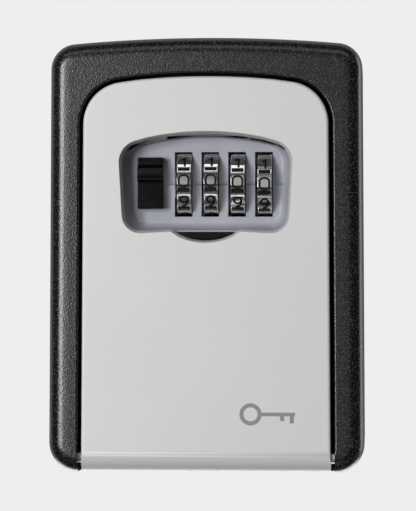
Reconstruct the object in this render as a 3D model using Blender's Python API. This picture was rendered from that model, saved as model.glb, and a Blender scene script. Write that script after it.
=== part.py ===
"""Wall-mounted key lock box: die-cast housing, drop-down door, four number dials and a weather shutter.

Frame: the wall plane is y = 0, the front faces -Y, +Z is up and +X is to the right seen from the front.
All the dimensions below are in millimetres and are turned into metres when a mesh is built.
"""
import math

import bmesh
import bpy
from mathutils import Matrix, Vector

MM = 0.001
GAP = 0.3                       # working gap between neighbouring pieces

# Housing
HALF_WIDTH_BOTTOM = 43.0
HALF_WIDTH_TOP = 42.3
BOTTOM = -59.0
TOP = 59.0
DEPTH = 36.0
HOUSING_ARCH_RADIUS = 418.0
HOUSING_TOP_CORNER = 7.0
HOUSING_BOTTOM_CORNER = 8.0
HOUSING_EDGE_RADIUS = 4.5
BACK_WALL = 3.0
FLOOR_TOP = -56.0
FLOOR_FRONT = -26.5
CORING_DEPTH = 29.0
OUTER_WALL = 2.4
INNER_WALL = 2.2
CORING_BOTTOM = -48.0
WALL_HOLE_RADIUS = 2.5
WALL_HOLES = [(-20.0, 30.0), (20.0, 30.0), (-20.0, -38.0), (20.0, -38.0)]
STRIKE_HALF_WIDTH = 14.0
STRIKE_BOTTOM = 43.0
STRIKE_FRONT = -26.5
STRIKE_BACK = -23.5

# Door
DOOR_GAP = 1.0
DOOR_HALF_BOTTOM = 33.9
DOOR_HALF_TOP = 33.2
DOOR_TOP = 48.4
DOOR_ARCH_RADIUS = 192.0
DOOR_CORNER = 11.5
DOOR_EDGE_RADIUS = 0.8
DOOR_FRONT = -DEPTH
DOOR_PLATE = 2.0
DOOR_SKIRT_BACK = -27.0
DOOR_SKIRT_WALL = 2.0
HINGE_Y = -32.0
HINGE_Z = -55.0
HINGE_ROUND = 4.0
PIN_RADIUS = 1.5
PIN_HALF_LENGTH = 38.0

# Window in the door and the weather shutter behind it
WINDOW_HALF_TOP = 23.75
WINDOW_HALF_BOTTOM = 22.4
WINDOW_CROWN = 33.5
WINDOW_SILL = 5.7
WINDOW_ARCH_RADIUS = 75.0
WINDOW_BEVEL = 0.7
NOTCH_HALF_WIDTH = 9.4
NOTCH_BOTTOM = 3.4
NOTCH_RADIUS = 17.0
SHUTTER_HALF_WIDTH = 25.4
SHUTTER_TOP = 6.3
SHUTTER_BOTTOM = -25.5
SHUTTER_FRONT = -33.7
SHUTTER_BACK = -32.9
SHUTTER_LIP_HALF = 5.2
SHUTTER_LIP_TOP = 5.45
SHUTTER_LIP_CLEARANCE = 0.35
SHUTTER_LIP_FRONT = -35.2

# Bezel: a flange behind the door plate with a recessed dial panel
FLANGE_FRONT = -32.6
FLANGE_BACK = -31.4
FLANGE_HALF_WIDTH = 30.2
FLANGE_TOP = 38.5
FLANGE_BOTTOM = -27.0
PANEL_FACE = -27.3
PANEL_BACK = -26.1
PANEL_SIDE_SLOPE = 3.2

# Dials
DIAL_XS = [-6.2, 1.13, 8.46, 15.79]
DIAL_Y = -22.8
DIAL_Z = 19.3
DIAL_FLAT = 9.3
DIAL_GROOVE_RADIUS = 8.9
DIAL_HALF_WIDTH = 1.95
DIAL_SLOT_HALF_WIDTH = 2.25
DIAL_SLOT_RADIUS = 9.9
DIAL_BORE = 2.9
SPLINE_COUNT = 10

# Clutches, axle and reset lever
AXLE_RADIUS = 1.0
SLEEVE_BORE = 1.3
SLEEVE_RADIUS = 1.9
CAM_RADIUS = 3.3
CAM_THICKNESS = 1.4
GATE_HALF_WIDTH = 1.0
BRACKET_LEFT = (-10.2, -8.9)
BRACKET_RIGHT = (21.1, 22.3)
LEVER_X = (22.7, 23.9)

# Lock case, latch and button
CASE_HALF_WIDTH = 26.6
CASE_WALL = 1.1
CASE_TOP = 38.5
CASE_BOTTOM = 2.8
CASE_FRONT = -31.1
CASE_BACK = -11.6
CASE_BACK_WALL = 1.4
LATCH_TRAVEL = 3.3
BOLT_HALF_WIDTH = 6.0
BOLT_TOP = 45.8
BOLT_FRONT = -23.0
BOLT_BACK = -19.0
BAR_BOTTOM = 32.6
BAR_TOP = 35.6
TOOTH_BOTTOM = DIAL_Z + 5.5
BUTTON_X = -15.35
BUTTON_Z = 19.6
BUTTON_HALF_WIDTH = 3.55
BUTTON_HALF_HEIGHT = 7.0
BUTTON_BASE_FRONT = -30.6
BUTTON_RIDGE_FRONT = -32.3

# Fasteners
SCREW_X = 28.9
CASE_SCREW_ZS = [34.0, 8.0]
FLANGE_SCREW_Z = -22.0
SCREW_SHANK = 0.9
SCREW_HOLE = 1.2
SCREW_HEAD = 1.6
SCREW_HEAD_HEIGHT = 1.1

MATERIALS = {
    "black_powder_coat": ((0.035, 0.035, 0.035), 0.3, 0.55),
    "silver_powder_coat": ((0.62, 0.62, 0.62), 0.4, 0.45),
    "satin_bezel": ((0.33, 0.34, 0.38), 0.8, 0.4),
    "nickel": ((0.72, 0.71, 0.69), 1.0, 0.18),
    "zinc_plate": ((0.5, 0.5, 0.48), 1.0, 0.38),
    "spring_steel": ((0.42, 0.42, 0.42), 1.0, 0.3),
    "brass": ((0.66, 0.5, 0.22), 1.0, 0.3),
    "black_plastic": ((0.02, 0.02, 0.02), 0.0, 0.45),
}


# ---------------------------------------------------------------- outlines

def arch_height(x, crown, radius):
    return crown - radius + math.sqrt(radius * radius - x * x)


def fillet(before, corner, after, radius, steps):
    """Points of the arc that rounds a corner, from the side of `before` to the side of `after`."""
    to_before = (Vector(before) - Vector(corner)).normalized()
    to_after = (Vector(after) - Vector(corner)).normalized()
    half_angle = to_before.angle(to_after) / 2
    centre = Vector(corner) + (to_before + to_after).normalized() * radius / math.sin(half_angle)
    reach = radius / math.tan(half_angle)
    start = Vector(corner) + to_before * reach - centre
    end = Vector(corner) + to_after * reach - centre
    first = math.atan2(start.y, start.x)
    sweep = math.atan2(end.y, end.x) - first
    sweep = (sweep + math.pi) % (2 * math.pi) - math.pi
    angles = [first + sweep * i / steps for i in range(steps + 1)]
    return [(centre.x + radius * math.cos(a), centre.y + radius * math.sin(a)) for a in angles]


def rounded(corners):
    """Outline from (x, z, radius, steps) corners; a radius of 0 keeps the corner sharp."""
    outline = []
    for index, (x, z, radius, steps) in enumerate(corners):
        before = corners[index - 1][:2]
        after = corners[(index + 1) % len(corners)][:2]
        if radius == 0:
            outline.append((x, z))
        else:
            outline.extend(fillet(before, (x, z), after, radius, steps))
    return outline


def grow(outline, distance):
    """The outline, given counter-clockwise, moved outwards by a distance."""
    moved = []
    for index, point in enumerate(outline):
        here = Vector(point)
        arriving = (here - Vector(outline[index - 1])).normalized()
        leaving = (Vector(outline[(index + 1) % len(outline)]) - here).normalized()
        normal_in = Vector((arriving.y, -arriving.x))
        normal_out = Vector((leaving.y, -leaving.x))
        bisector = (normal_in + normal_out).normalized()
        moved.append(tuple(here + bisector * distance / bisector.dot(normal_in)))
    return moved


def arch_points(half_width, crown, radius, count):
    """Points along an arched top from right to left, without its two ends."""
    xs = [half_width - 2 * half_width * i / (count - 1) for i in range(count)]
    return [(x, arch_height(x, crown, radius), 0, 0) for x in xs]


def arched_plate(half_bottom, half_top, bottom, crown, arch_radius, bottom_corner, top_corner):
    """Counter-clockwise outline of a plate with tapered sides and an arched top."""
    shoulder = arch_height(half_top, crown, arch_radius)
    corners = [(-half_bottom, bottom, bottom_corner, 5), (half_bottom, bottom, bottom_corner, 5)]
    corners.append((half_top, shoulder, top_corner, 6))
    corners.extend(arch_points(half_top - 1.3 * top_corner, crown, arch_radius, 7))
    corners.append((-half_top, shoulder, top_corner, 6))
    return rounded(corners)


def rectangle(left, right, bottom, top, radius=0.0, steps=3):
    corners = [(left, bottom), (right, bottom), (right, top), (left, top)]
    return rounded([(x, z, radius, steps) for x, z in corners])


def circle(centre, radius, count):
    turn = 2 * math.pi / count
    return [
        (centre[0] + radius * math.cos(i * turn), centre[1] + radius * math.sin(i * turn))
        for i in range(count)
    ]


def star(centre, outer, inner, teeth):
    """Closed toothed outline with a tooth every 360 / teeth degrees."""
    points = []
    for tooth in range(teeth):
        middle = 2 * math.pi * tooth / teeth
        for part, radius in ((-0.3, inner), (-0.15, outer), (0.15, outer), (0.3, inner)):
            angle = middle + part * 2 * math.pi / teeth
            points.append((centre[0] + radius * math.cos(angle), centre[1] + radius * math.sin(angle)))
    return points


def housing_outline():
    return arched_plate(
        HALF_WIDTH_BOTTOM, HALF_WIDTH_TOP, BOTTOM, TOP,
        HOUSING_ARCH_RADIUS, HOUSING_BOTTOM_CORNER, HOUSING_TOP_CORNER,
    )


def door_outline(bottom=BOTTOM, bottom_corner=0.0):
    return arched_plate(
        DOOR_HALF_BOTTOM, DOOR_HALF_TOP, bottom, DOOR_TOP,
        DOOR_ARCH_RADIUS, bottom_corner, DOOR_CORNER,
    )


def window_corners():
    """Right half of the window's corners above the sill, then the arch, then the left half."""
    shoulder = arch_height(WINDOW_HALF_TOP, WINDOW_CROWN, WINDOW_ARCH_RADIUS)
    corners = [(WINDOW_HALF_BOTTOM, WINDOW_SILL, 5.0, 5), (WINDOW_HALF_TOP, shoulder, 6.0, 5)]
    corners.extend(arch_points(WINDOW_HALF_TOP - 8.0, WINDOW_CROWN, WINDOW_ARCH_RADIUS, 5))
    corners.append((-WINDOW_HALF_TOP, shoulder, 6.0, 5))
    corners.append((-WINDOW_HALF_BOTTOM, WINDOW_SILL, 5.0, 5))
    return corners


def window_outline():
    """Window with a finger notch in the middle of its sill."""
    notch = []
    for step in range(-4, 5):
        x = 1.9 * step
        notch.append((x, NOTCH_BOTTOM + NOTCH_RADIUS - math.sqrt(NOTCH_RADIUS ** 2 - x * x), 0, 0))
    left_lobe = (-NOTCH_HALF_WIDTH, WINDOW_SILL + 0.7, 1.2, 2)
    right_lobe = (NOTCH_HALF_WIDTH, WINDOW_SILL + 0.7, 1.2, 2)
    return rounded([left_lobe] + notch + [right_lobe] + window_corners())


def dish_outline():
    """The window without its finger notch, a little smaller."""
    return grow(rounded(window_corners()), -0.6)


# ---------------------------------------------------------------- solids

def material(name):
    found = bpy.data.materials.get(name)
    if found:
        return found
    colour, metallic, roughness = MATERIALS[name]
    made = bpy.data.materials.new(name)
    made.use_nodes = True
    shader = made.node_tree.nodes["Principled BSDF"]
    shader.inputs["Base Color"].default_value = (*colour, 1)
    shader.inputs["Metallic"].default_value = metallic
    shader.inputs["Roughness"].default_value = roughness
    return made


def loft(name, rings):
    """Closed solid through rings of points, each ring with the same number of points."""
    bm = bmesh.new()
    layers = [[bm.verts.new([c * MM for c in point]) for point in ring] for ring in rings]
    count = len(rings[0])
    for lower, upper in zip(layers, layers[1:]):
        for i in range(count):
            j = (i + 1) % count
            bm.faces.new((lower[i], lower[j], upper[j], upper[i]))
    bm.faces.new(layers[0][::-1])
    bm.faces.new(layers[-1])
    bmesh.ops.recalc_face_normals(bm, faces=bm.faces)
    mesh = bpy.data.meshes.new(name)
    bm.to_mesh(mesh)
    bm.free()
    mesh.shade_smooth()
    mesh.set_sharp_from_angle(angle=math.radians(32))
    made = bpy.data.objects.new(name, mesh)
    bpy.context.scene.collection.objects.link(made)
    return made


def across_y(outline, y):
    return [(x, y, z) for x, z in outline]


def prism_y(name, outline, back, front):
    return loft(name, [across_y(outline, back), across_y(outline, front)])


def prism_x(name, outline, left, right):
    """Solid along X from an outline given as (y, z) points."""
    return loft(name, [[(x, y, z) for y, z in outline] for x in (left, right)])


def box(name, xs, ys, zs):
    return prism_y(name, rectangle(xs[0], xs[1], zs[0], zs[1]), ys[1], ys[0])


def combine(target, other, operation):
    modifier = target.modifiers.new(other.name, "BOOLEAN")
    modifier.operation = operation
    modifier.solver = "EXACT"
    modifier.object = other
    other.hide_render = True
    other.display_type = "WIRE"


def cut(target, *others):
    for other in others:
        combine(target, other, "DIFFERENCE")


def join(target, *others):
    for other in others:
        combine(target, other, "UNION")


def finish(target, material_name, origin=None):
    """Gives a piece its material and, for a moving piece, an origin on its joint."""
    target.data.materials.append(material(material_name))
    if origin:
        offset = Vector([c * MM for c in origin])
        target.data.transform(Matrix.Translation(-offset))
        target.location = offset
    return target


def rounded_front(outline, back, front, radius, steps):
    """Rings of a plate whose front edge is rounded all round."""
    rings = [across_y(outline, back)]
    for step in range(steps + 1):
        angle = math.pi / 2 * step / steps
        ring = grow(outline, -radius * (1 - math.cos(angle)))
        rings.append(across_y(ring, front + radius - radius * math.sin(angle)))
    return rings


# ---------------------------------------------------------------- housing

def make_housing():
    shell = loft(
        "housing_shell",
        rounded_front(housing_outline(), 0.0, -DEPTH, HOUSING_EDGE_RADIUS, 5),
    )
    cavity_outline = grow(door_outline(FLOOR_TOP + DOOR_GAP, 3.0), DOOR_GAP)
    cavity = loft("cut_cavity", [
        across_y(cavity_outline, -BACK_WALL),
        across_y(cavity_outline, -DEPTH + 0.4),
        across_y(grow(cavity_outline, 0.8), -DEPTH - 0.4),
    ])
    side = DOOR_HALF_BOTTOM + DOOR_GAP
    hinge_opening = box("cut_hinge_opening", (-side, side), (-DEPTH - 1, FLOOR_FRONT), (BOTTOM - 2, -50))
    coring = prism_y("cut_coring", grow(housing_outline(), -OUTER_WALL), 1.0, -CORING_DEPTH)
    keep_wall = prism_y("keep_inner_wall", grow(door_outline(-70.0), DOOR_GAP + INNER_WALL), 2.0, -DEPTH)
    keep_floor = box("keep_floor", (-50, 50), (-DEPTH, 2), (-70, CORING_BOTTOM))
    cut(coring, keep_wall, keep_floor)
    strike = box(
        "strike_lip", (-STRIKE_HALF_WIDTH, STRIKE_HALF_WIDTH),
        (STRIKE_FRONT, STRIKE_BACK), (STRIKE_BOTTOM, DOOR_TOP + DOOR_GAP + 1),
    )
    cut(shell, cavity, hinge_opening, coring)
    join(shell, strike)
    for index, place in enumerate(WALL_HOLES, 1):
        cut(shell, prism_y(f"cut_wall_hole_{index}", circle(place, WALL_HOLE_RADIUS, 16), 1, -BACK_WALL - 1))
    pin_hole = circle((HINGE_Y, HINGE_Z), PIN_RADIUS + GAP, 16)
    cut(shell, prism_x("cut_pin_bearing", pin_hole, -PIN_HALF_LENGTH - GAP, PIN_HALF_LENGTH + GAP))
    finish(shell, "black_powder_coat")


def make_hinge_pin():
    outline = circle((HINGE_Y, HINGE_Z), PIN_RADIUS, 16)
    finish(prism_x("hinge_pin", outline, -PIN_HALF_LENGTH, PIN_HALF_LENGTH), "zinc_plate")


# ---------------------------------------------------------------- door

def hinge_relief():
    """What is taken off the door's bottom edge so that it turns inside a circle about the hinge."""
    arc = [
        (HINGE_Y - HINGE_ROUND * math.cos(math.pi * i / 12), HINGE_Z - HINGE_ROUND * math.sin(math.pi * i / 12))
        for i in range(13)
    ]
    back = DOOR_SKIRT_BACK + 1
    outside = [(back, HINGE_Z), (back, BOTTOM - 2), (-DEPTH - 2, BOTTOM - 2), (-DEPTH - 2, HINGE_Z)]
    return prism_x("cut_hinge_relief", arc + outside, -40, 40)


def screw_places():
    places = [(side * SCREW_X, z) for z in CASE_SCREW_ZS for side in (-1, 1)]
    return places + [(side * SCREW_X, FLANGE_SCREW_Z) for side in (-1, 1)]


def make_door():
    door = loft(
        "door_panel",
        rounded_front(door_outline(), DOOR_SKIRT_BACK, DOOR_FRONT, DOOR_EDGE_RADIUS, 3),
    )
    plate_back = DOOR_FRONT + DOOR_PLATE
    hollow = prism_y("cut_door_hollow", grow(door_outline(), -DOOR_SKIRT_WALL), DOOR_SKIRT_BACK + 1, plate_back)
    cut(door, hollow)
    guide_front = FLANGE_FRONT - GAP
    for side, sign in (("left", -1), ("right", 1)):
        xs = sorted((sign * 25.8, sign * 26.8))
        join(door, box(f"shutter_guide_{side}", xs, (plate_back - 0.2, guide_front), (-26.5, 36.0)))
    for index, place in enumerate(screw_places(), 1):
        join(door, prism_y(f"screw_boss_{index}", circle(place, 2.0, 12), guide_front, plate_back - 0.2))
        cut(door, prism_y(f"cut_boss_hole_{index}", circle(place, SCREW_HOLE, 10), guide_front + 1, -35.1))
    window = window_outline()
    cut(door, loft("cut_window", [
        across_y(grow(window, -WINDOW_BEVEL), plate_back + 1),
        across_y(grow(window, -WINDOW_BEVEL), DOOR_FRONT + WINDOW_BEVEL),
        across_y(grow(window, 0.2), DOOR_FRONT - 0.2),
    ]))
    cut(door, hinge_relief())
    pin_hole = circle((HINGE_Y, HINGE_Z), PIN_RADIUS + GAP, 16)
    cut(door, prism_x("cut_door_pin_hole", pin_hole, -40, 40))
    finish(door, "silver_powder_coat", (0, HINGE_Y, HINGE_Z))


def make_shutter():
    outline = rectangle(-SHUTTER_HALF_WIDTH, SHUTTER_HALF_WIDTH, SHUTTER_BOTTOM, SHUTTER_TOP, 1.0, 3)
    shutter = prism_y("shutter", outline, SHUTTER_BACK, SHUTTER_FRONT)
    arc = []
    radius = NOTCH_RADIUS - WINDOW_BEVEL
    lowest = NOTCH_BOTTOM + WINDOW_BEVEL + SHUTTER_LIP_CLEARANCE
    for step in range(-4, 5):
        x = SHUTTER_LIP_HALF * step / 4
        arc.append((x, lowest + radius - math.sqrt(radius ** 2 - x * x)))
    lip_top = [(SHUTTER_LIP_HALF, SHUTTER_LIP_TOP), (-SHUTTER_LIP_HALF, SHUTTER_LIP_TOP)]
    join(shutter, prism_y("shutter_lip", arc + lip_top, SHUTTER_BACK - 0.2, SHUTTER_LIP_FRONT))
    finish(shutter, "black_plastic", (0, SHUTTER_BACK, SHUTTER_TOP))


# ---------------------------------------------------------------- lock

def make_bezel():
    outline = rectangle(-FLANGE_HALF_WIDTH, FLANGE_HALF_WIDTH, FLANGE_BOTTOM, FLANGE_TOP, 3.0, 3)
    bezel = prism_y("dial_bezel", outline, FLANGE_BACK, FLANGE_FRONT)
    join(bezel, prism_y("bezel_tub", grow(dish_outline(), 1.2), PANEL_BACK, FLANGE_FRONT + 0.4))
    rim = dish_outline()
    floor = []
    for x, z in rim:
        slide = PANEL_SIDE_SLOPE * min(1.0, abs(x) / WINDOW_HALF_BOTTOM)
        lift = 2.0 if z < DIAL_Z - 8 else 0.0
        floor.append((x - math.copysign(slide, x), z + lift))
    cut(bezel, loft("cut_dish", [across_y(floor, PANEL_FACE), across_y(rim, FLANGE_FRONT - 0.1)]))
    for index, x in enumerate(DIAL_XS, 1):
        slot = circle((DIAL_Y, DIAL_Z), DIAL_SLOT_RADIUS, 48)
        cut(bezel, prism_x(f"cut_dial_slot_{index}", slot, x - DIAL_SLOT_HALF_WIDTH, x + DIAL_SLOT_HALF_WIDTH))
    cut(bezel, box(
        "cut_button_slot", (BUTTON_X - 1.9, BUTTON_X + 1.9), (-29, -25),
        (BUTTON_Z - 1.5 - LATCH_TRAVEL - 0.4, BUTTON_Z + 1.9),
    ))
    path_half_width = BUTTON_HALF_WIDTH + GAP
    lowest = BUTTON_Z - BUTTON_HALF_HEIGHT - LATCH_TRAVEL - GAP
    cut(bezel, box(
        "cut_button_path", (BUTTON_X - path_half_width, BUTTON_X + path_half_width),
        (FLANGE_FRONT - 1, PANEL_FACE), (lowest, BUTTON_Z),
    ))
    for index, place in enumerate(screw_places(), 1):
        cut(bezel, prism_y(f"cut_flange_hole_{index}", circle(place, SCREW_HOLE, 10), -30, -34))
    finish(bezel, "satin_bezel")


def make_lock_case():
    outline = rectangle(-CASE_HALF_WIDTH, CASE_HALF_WIDTH, CASE_BOTTOM, CASE_TOP, 2.0, 3)
    case = prism_y("lock_case", outline, CASE_BACK, CASE_FRONT)
    inner_back = CASE_BACK - CASE_BACK_WALL
    cut(case, prism_y("cut_case_hollow", grow(outline, -CASE_WALL), inner_back, CASE_FRONT - 1))
    for index, place in enumerate(screw_places()[:4], 1):
        x, z = place
        inner, outer = sorted((math.copysign(CASE_HALF_WIDTH - 0.5, x), math.copysign(FLANGE_HALF_WIDTH, x)))
        join(case, box(f"case_ear_{index}", (inner, outer), (CASE_FRONT, CASE_FRONT + 1.2), (z - 2.2, z + 2.2)))
        cut(case, prism_y(f"cut_ear_hole_{index}", circle(place, SCREW_HOLE, 10), -28, -33))
    for side, xs in (("left", BRACKET_LEFT), ("right", BRACKET_RIGHT)):
        zs = (DIAL_Z - 3.5, DIAL_Z + 3.5)
        join(case, box(f"axle_bracket_{side}", xs, (-25.4, inner_back + 0.4), zs))
    axle_hole = circle((DIAL_Y, DIAL_Z), AXLE_RADIUS + GAP, 14)
    cut(case, prism_x("cut_axle_holes", axle_hole, BRACKET_LEFT[0] - 1, BRACKET_RIGHT[1] + 0.2))
    bolt_gap = 0.5
    cut(case, box(
        "cut_bolt_slot", (-BOLT_HALF_WIDTH - bolt_gap, BOLT_HALF_WIDTH + bolt_gap),
        (BOLT_FRONT - bolt_gap, BOLT_BACK + bolt_gap), (CASE_TOP - 3, CASE_TOP + 1),
    ))
    cut(case, box("cut_lever_slot", (22.2, 25.8), (-16, -10), (17.2, 21.4)))
    finish(case, "zinc_plate")


def dial_profile():
    """Outline of a dial: ten flats for the digits with a groove between neighbours."""
    points = []
    corner = DIAL_FLAT / math.cos(math.radians(13))
    for digit in range(10):
        for angle, radius in ((-13, corner), (13, corner), (15, DIAL_GROOVE_RADIUS), (21, DIAL_GROOVE_RADIUS)):
            turned = math.radians(digit * 36 + angle)
            points.append((DIAL_Y + radius * math.cos(turned), DIAL_Z + radius * math.sin(turned)))
    return points


def make_dial(index, x):
    dial = prism_x(f"dial_{index}", dial_profile(), x - DIAL_HALF_WIDTH, x + DIAL_HALF_WIDTH)
    axis = (DIAL_Y, DIAL_Z)
    splines = star(axis, DIAL_BORE, 2.3, SPLINE_COUNT)
    cut(dial, prism_x(f"cut_dial_splines_{index}", splines, x - DIAL_HALF_WIDTH - 1, x + DIAL_HALF_WIDTH + 1))
    bore = circle(axis, DIAL_BORE, 20)
    cut(dial, prism_x(f"cut_dial_bore_{index}", bore, x - 0.2, x + DIAL_HALF_WIDTH + 1))
    finish(dial, "nickel", (x, DIAL_Y, DIAL_Z))


def make_clutch(index, x):
    """Splined sleeve inside a dial, with a gated cam beside the dial."""
    axis = (DIAL_Y, DIAL_Z)
    cam_left = x + DIAL_HALF_WIDTH + GAP
    clutch = prism_x(f"clutch_{index}", circle(axis, SLEEVE_RADIUS, 16), x - 1.2, cam_left + 0.4)
    join(clutch, prism_x(f"clutch_teeth_{index}", star(axis, 2.55, 1.95, SPLINE_COUNT), x - 1.8, x - 0.4))
    join(clutch, prism_x(f"clutch_cam_{index}", circle(axis, CAM_RADIUS, 24), cam_left, cam_left + CAM_THICKNESS))
    cut(clutch, box(
        f"cut_gate_{index}", (cam_left - 0.2, cam_left + CAM_THICKNESS + 0.5),
        (DIAL_Y - GATE_HALF_WIDTH, DIAL_Y + GATE_HALF_WIDTH), (DIAL_Z + SLEEVE_RADIUS, DIAL_Z + 5),
    ))
    cut(clutch, prism_x(f"cut_sleeve_bore_{index}", circle(axis, SLEEVE_BORE, 12), x - 3, x + 6))
    finish(clutch, "brass", (x, DIAL_Y, DIAL_Z))


def make_axle_and_lever():
    axis = (DIAL_Y, DIAL_Z)
    axle = prism_x("dial_axle", circle(axis, AXLE_RADIUS, 12), -10.7, LEVER_X[1])
    finish(axle, "zinc_plate")
    lever = box("reset_lever", LEVER_X, (DIAL_Y - 2.2, -9.6), (DIAL_Z - 1.8, DIAL_Z + 1.8))
    cut(lever, prism_x("cut_lever_bore", circle(axis, AXLE_RADIUS + GAP, 12), LEVER_X[0] - 1, LEVER_X[1] + 1))
    finish(lever, "spring_steel")


def make_detent_spring():
    """Comb of leaf springs under the dials, one finger with a nib for each dial."""
    base = box("detent_spring", (-9.0, 19.0), (-13.8, -13.3), (5.6, 9.0))
    for index, x in enumerate(DIAL_XS, 1):
        join(base, box(f"detent_finger_{index}", (x - 1.4, x + 1.4), (-24.0, -13.5), (8.3, 8.7)))
        nib = [(DIAL_Y - 0.9, 8.5), (DIAL_Y + 0.9, 8.5), (DIAL_Y, 9.4)]
        join(base, prism_x(f"detent_nib_{index}", nib, x - 1.2, x + 1.2))
    finish(base, "spring_steel")


def make_latch():
    """Slide behind the panel: a column at the button, a bar over the dials, fence teeth and the bolt."""
    slide = box("latch_slide", (-19.4, 20.0), (-24.6, BOLT_BACK), (BAR_BOTTOM, BAR_TOP))
    join(slide, box("latch_column", (-19.4, -11.2), (-25.7, -24.4), (12.9, BAR_TOP - 0.4)))
    join(slide, box("latch_foot", (-18.4, -12.3), (-25.2, -20.4), (12.6, 13.8)))
    neck = (BUTTON_Z - 1.5, BUTTON_Z + 1.5)
    join(slide, box("latch_neck", (BUTTON_X - 1.5, BUTTON_X + 1.5), (-29.0, -25.0), neck))
    for index, x in enumerate(DIAL_XS, 1):
        left = x + DIAL_HALF_WIDTH + 0.35
        outline = [
            (DIAL_Y - 0.7, TOOTH_BOTTOM), (DIAL_Y + 0.7, TOOTH_BOTTOM), (DIAL_Y + 0.7, 27.0),
            (DIAL_Y + 1.6, 28.0), (DIAL_Y + 1.6, BAR_BOTTOM + 0.5), (DIAL_Y - 1.6, BAR_BOTTOM + 0.5),
            (DIAL_Y - 1.6, 28.0), (DIAL_Y - 0.7, 27.0),
        ]
        join(slide, prism_x(f"fence_tooth_{index}", outline, left, left + 1.05))
    bolt = [
        (BOLT_FRONT, BAR_TOP - 0.5), (BOLT_BACK, BAR_TOP - 0.5), (BOLT_BACK, BOLT_TOP - 3.0),
        (BOLT_FRONT + 1.2, BOLT_TOP), (BOLT_FRONT, BOLT_TOP),
    ]
    join(slide, prism_x("latch_bolt", bolt, -BOLT_HALF_WIDTH, BOLT_HALF_WIDTH))
    finish(slide, "zinc_plate", (BUTTON_X, DIAL_Y, BUTTON_Z))


def make_button():
    left, right = BUTTON_X - BUTTON_HALF_WIDTH, BUTTON_X + BUTTON_HALF_WIDTH
    outline = rectangle(left, right, BUTTON_Z - BUTTON_HALF_HEIGHT, BUTTON_Z + BUTTON_HALF_HEIGHT, 0.8, 3)
    button = prism_y("release_button", outline, PANEL_FACE - GAP, BUTTON_BASE_FRONT)
    back = BUTTON_BASE_FRONT + 0.3
    ridge = [(back, 20.0), (back, 25.6), (-31.6, 24.6), (BUTTON_RIDGE_FRONT, 22.6), (BUTTON_RIDGE_FRONT, 21.6)]
    join(button, prism_x("button_ridge", ridge, left + 0.3, right - 0.3))
    for index in range(5):
        z = 13.6 + 1.2 * index
        rib = [(back, z), (back, z + 0.6), (-31.0, z + 0.45), (-31.0, z + 0.15)]
        join(button, prism_x(f"button_rib_{index + 1}", rib, left + 0.6, right - 0.6))
    cut(button, box(
        "cut_button_socket", (BUTTON_X - 1.8, BUTTON_X + 1.8), (-29.3, -27),
        (BUTTON_Z - 1.8, BUTTON_Z + 1.8),
    ))
    finish(button, "black_plastic", (BUTTON_X, DIAL_Y, BUTTON_Z))


def make_latch_spring():
    """Compression coil between the floor of the lock case and the foot of the latch slide."""
    wire, coil_radius, turns, per_turn = 0.3, 1.7, 5, 14
    bottom, top = CASE_BOTTOM + CASE_WALL + GAP + wire, 12.6 - GAP - wire
    rings = []
    for step in range(turns * per_turn + 1):
        angle = 2 * math.pi * step / per_turn
        height = bottom + (top - bottom) * step / (turns * per_turn)
        ring = []
        for corner in range(6):
            around = math.pi / 3 * corner
            radius = coil_radius + wire * math.cos(around)
            x = BUTTON_X + radius * math.cos(angle)
            y = DIAL_Y + radius * math.sin(angle)
            ring.append((x, y, height + wire * math.sin(around)))
        rings.append(ring)
    finish(loft("latch_spring", rings), "spring_steel")


def make_screws():
    for index, place in enumerate(screw_places(), 1):
        under_head = (CASE_FRONT + 1.2 if index <= 4 else FLANGE_BACK) + GAP
        head_top = under_head + SCREW_HEAD_HEIGHT
        profile = [
            (SCREW_HEAD - 0.4, head_top), (SCREW_HEAD, head_top - 0.4), (SCREW_HEAD, under_head),
            (SCREW_SHANK, under_head), (SCREW_SHANK, -34.4), (0.4, -34.8),
        ]
        screw = loft(f"case_screw_{index}", [across_y(circle(place, r, 12), y) for r, y in profile])
        for turn, size in enumerate(((1.0, 0.2), (0.2, 1.0)), 1):
            x, z = place
            recess = rectangle(x - size[0], x + size[0], z - size[1], z + size[1])
            cut(screw, prism_y(f"cut_recess_{index}_{turn}", recess, head_top + 1, head_top - 0.6))
        finish(screw, "zinc_plate")


def main():
    for found in list(bpy.data.objects):
        bpy.data.objects.remove(found, do_unlink=True)
    make_housing()
    make_hinge_pin()
    make_door()
    make_shutter()
    make_bezel()
    make_lock_case()
    for index, x in enumerate(DIAL_XS, 1):
        make_dial(index, x)
        make_clutch(index, x)
    make_axle_and_lever()
    make_detent_spring()
    make_latch()
    make_button()
    make_latch_spring()
    make_screws()


main()
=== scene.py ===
"""Looks of the wall-mounted key lock box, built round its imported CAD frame.

The frame is in metres: wall plane y = 0, front towards -Y, +Z up. Dimensions below are in millimetres, as in
the CAD source, and are turned into metres when a mesh is made. Lamps, camera and bump depths are in metres.
"""
import math

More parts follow.
